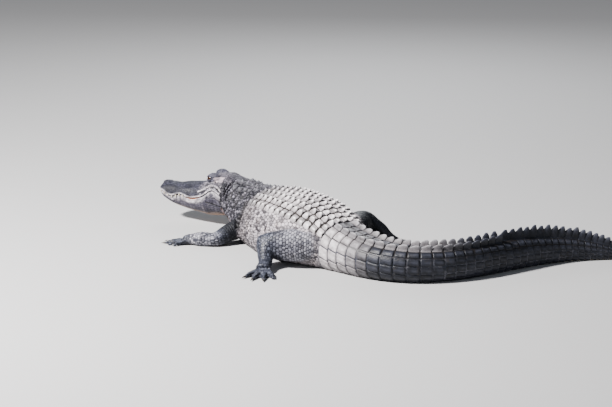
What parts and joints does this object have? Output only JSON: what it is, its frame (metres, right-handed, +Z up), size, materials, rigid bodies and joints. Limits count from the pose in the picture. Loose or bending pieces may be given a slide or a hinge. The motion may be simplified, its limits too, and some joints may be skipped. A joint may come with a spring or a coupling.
{
  "type": "american alligator",
  "caption": "Still life-size adult American alligator lying on its belly, head turned to its left, tail in a long curve, with a plated back and a tail crest.",
  "frame": {"origin": "on the floor, on the flat of the belly under the middle of the trunk", "axes": "+X towards the tail end of the pose and the right of the picture, +Y away from the camera, +Z up"},
  "size_m": [2.3768, 1.3667, 0.3066],
  "materials": {
    "skin": "satin",
    "claw": "satin",
    "eye": "gloss"
  },
  "bodies": {
    "root": {"head": "skin", "lower_jaw": "skin", "eye_left": "eye", "eye_right": "eye", "neck": "skin", "torso": "skin", "tail_base": "skin", "tail_middle": "skin", "tail_end": "skin", "upper_arm_left": "skin", "forearm_left": "skin", "hand_left": "skin", "hand_claw_1_left": "claw", "hand_claw_2_left": "claw", "hand_claw_3_left": "claw", "thigh_left": "skin", "shank_left": "skin", "foot_left": "skin", "foot_claw_1_left": "claw", "foot_claw_2_left": "claw", "foot_claw_3_left": "claw", "upper_arm_right": "skin", "forearm_right": "skin", "hand_right": "skin", "hand_claw_1_right": "claw", "hand_claw_2_right": "claw", "hand_claw_3_right": "claw", "thigh_right": "skin", "shank_right": "skin", "foot_right": "skin", "foot_claw_1_right": "claw", "foot_claw_2_right": "claw", "foot_claw_3_right": "claw"}
  },
  "joints": []
}
